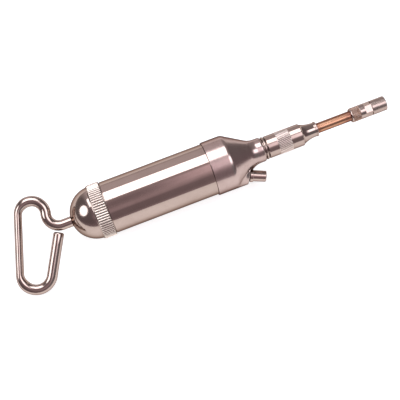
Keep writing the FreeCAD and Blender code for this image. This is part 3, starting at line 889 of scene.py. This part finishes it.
def finish_cad_nodes():
    """Every CAD node that still shows gets its slot's own material."""
    slots = {part["node"]: part["material_slot"] for part in frame["record"]["subparts"]}
    for name, node in frame["nodes"].items():
        node.data.materials.clear()
        node.data.materials.append(SLOT_MATERIALS[slots[name]])


# ---- floor, light and camera ----

FLOOR_GAP = 0.0003
SOFTBOX_RADIANCE = 3.4
SOFTBOX_TINT = (0.95, 1.0, 1.08)


def facing(place, right, up, back):
    """The matrix of a lamp or camera at a place, from its three axes. It looks away from its back."""
    return Matrix.Translation(place) @ Matrix((right, up, back)).transposed().to_4x4()


def build_floor():
    """A plain white bench top that glows faintly, as a light table does, so shadows on it stay pale."""
    material, link, shader, add = base_tree("bench_top")
    shader.inputs["Base Color"].default_value = (0.5, 0.5, 0.5, 1)
    shader.inputs["Roughness"].default_value = 0.9
    shader.inputs["Specular IOR Level"].default_value = 0.0
    shader.inputs["Emission Color"].default_value = (1, 1, 1, 1)
    shader.inputs["Emission Strength"].default_value = 0.78
    mesh = bpy.data.meshes.new("floor")
    half = 3.0
    corners = [(-half, -half, 0), (half, -half, 0), (half, half, 0), (-half, half, 0)]
    mesh.from_pydata(corners, [], [(0, 1, 2, 3)])
    floor = bpy.data.objects.new("floor", mesh)
    floor.location.z = -FLOOR_GAP
    mesh.materials.append(material)
    bpy.context.scene.collection.objects.link(floor)


def softbox(name, along, angle, distance, size, radiance, colour=(1, 1, 1), shape="ELLIPSE"):
    """A light facing the pump. It is centred along mm down the barrel's axis from the head, and at an angle
    round that axis, where 0 is the far horizon and 90 the zenith."""
    a = math.radians(angle)
    centre = ORIGIN + Vector((along * MM, math.cos(a) * distance, math.sin(a) * distance))
    light = bpy.data.lights.new(name, "AREA")
    light.shape = shape
    light.size, light.size_y = size
    light.color = colour
    full = 4 if shape == "RECTANGLE" else math.pi
    light.energy = radiance * size[0] * size[1] / 4 * full * math.pi
    lamp = bpy.data.objects.new(name, light)
    out = (centre - ORIGIN).normalized()
    side = Vector((1, 0, 0)).cross(out).cross(out).normalized()
    lamp.matrix_world = facing(centre, side, out.cross(side), out)
    bpy.context.scene.collection.objects.link(lamp)


# The room's brightness by angle round the barrel: 0 is the far horizon, 90 the zenith, 180 the near horizon.
# The lists are for the room over the barrel, towards the nozzle, and out beyond either end.
ROOM_OVER = ((0, 0.70), (12, 0.80), (38, 0.78), (85, 0.60), (95, 0.42), (104, 0.34), (113, 0.34),
             (122, 0.40), (131, 0.52), (139, 0.52), (147, 0.30), (170, 0.28), (178, 0.40))
ROOM_NOZZLE = ((0, 0.70), (12, 0.80), (38, 0.78), (85, 0.60), (93, 0.60), (101, 1.20), (121, 1.10),
               (131, 0.75), (139, 0.50), (147, 0.34), (160, 0.30), (172, 0.34), (178, 0.45))
ROOM_SIDE = ((0, 0.50), (12, 0.45), (38, 0.36), (85, 0.30), (92, 0.40), (98, 3.20), (124, 3.20), (132, 0.45),
             (139, 0.26), (170, 0.24), (178, 0.36))
ROOM_ENDS = ((0, 0.34), (20, 0.22), (160, 0.20), (178, 0.32))


def room_ramp(add, link, angle, stops, near_tint=(1.0, 0.80, 0.90)):
    """The room's colour from a list of (angle, brightness) stops, tinted overhead and in front."""
    far_tint = (1.0, 0.92, 0.98)
    ramp = add("ShaderNodeValToRGB")
    link(angle, ramp.inputs["Fac"])
    while len(ramp.color_ramp.elements) < len(stops):
        ramp.color_ramp.elements.new(0.5)
    for element, (degrees, value) in zip(ramp.color_ramp.elements, stops):
        tint = far_tint if degrees < 90 else near_tint
        element.position = degrees / 180
        element.color = (*(value * part for part in tint), 1)
    return ramp.outputs["Color"]


def build_room():
    """The studio round the bench, as a sky whose brightness goes by direction."""
    world = bpy.data.worlds.new("studio")
    world.use_nodes = True
    tree = world.node_tree
    link = tree.links.new
    add = node_adder(tree)
    way = add("ShaderNodeSeparateXYZ")
    link(add("ShaderNodeTexCoord").outputs["Generated"], way.inputs[0])
    turn = summed(add, link, way.outputs["Z"], way.outputs["Y"], "ARCTAN2")
    angle = ranged(add, link, turn, 0.0, 1.0, 0.0, math.pi)
    over = room_ramp(add, link, angle, ROOM_OVER)
    nozzle = room_ramp(add, link, angle, ROOM_NOZZLE)
    ends = room_ramp(add, link, angle, ROOM_ENDS)
    side = room_ramp(add, link, angle, ROOM_SIDE, near_tint=(1.0, 1.0, 1.10))
    to_nozzle = ranged(add, link, way.outputs["X"], 0.0, 1.0, 0.01, 0.11, "SMOOTHSTEP")
    to_side = ranged(add, link, way.outputs["X"], 0.0, 1.0, 0.10, 0.28, "SMOOTHSTEP")
    to_rear = ranged(add, link, way.outputs["X"], 1.0, 0.0, -0.45, -0.12)
    to_front = ranged(add, link, way.outputs["X"], 0.0, 1.0, 0.60, 0.74)
    middle = blended(add, link, to_side, blended(add, link, to_nozzle, over, nozzle), side)
    room = blended(add, link, summed(add, link, to_rear, to_front, "MAXIMUM"), middle, ends)
    link(room, tree.nodes["Background"].inputs["Color"])
    tree.nodes["Background"].inputs["Strength"].default_value = 1.0
    bpy.context.scene.world = world


def build_light():
    """A softbox above the barrel, a round one above the handle, and the studio round them."""
    softbox("over_barrel", along=-30, angle=68, distance=0.62, size=(0.48, 0.44), radiance=SOFTBOX_RADIANCE,
            colour=SOFTBOX_TINT, shape="RECTANGLE")
    softbox("over_handle", along=-505, angle=85, distance=0.40, size=(0.40, 0.42), radiance=SOFTBOX_RADIANCE,
            colour=SOFTBOX_TINT)
    build_room()
    bpy.context.scene.view_settings.view_transform = "Standard"


def build_camera():
    """Looks square on to the loop's plane, turned so that the barrel climbs to the right."""
    distance = 0.570
    climb = math.radians(20.85)
    tilt = math.radians(4.0)
    aim_x = -11.9
    aim_down = 15.3
    turn = TO_ROW.to_3x3() * (1 / MM)
    along = turn @ Vector((1, 0, 0))
    down = turn @ Vector((0, -1, 0))
    toward = turn @ Vector((0, 0, 1))
    back = toward * math.cos(tilt) - along * math.sin(tilt)
    level = along * math.cos(tilt) + toward * math.sin(tilt)
    right = level * math.cos(climb) + down * math.sin(climb)
    up = level * math.sin(climb) - down * math.cos(climb)
    aim = TO_ROW @ Vector((aim_x, -aim_down, 0))
    camera = bpy.data.cameras.new("camera")
    camera.lens = 85.5
    camera.sensor_width = 36.0
    camera.clip_start = 0.01
    view = bpy.data.objects.new("camera", camera)
    view.matrix_world = facing(aim + back * distance, right, up, back)
    bpy.context.scene.collection.objects.link(view)
    bpy.context.scene.camera = view


build_barrel()
build_cap()
build_head()
build_vent()
build_neck()
build_nut()
build_pipe()
build_socket()
build_sleeve()
build_handle()
build_springs()
finish_cad_nodes()
build_floor()
build_light()
build_camera()
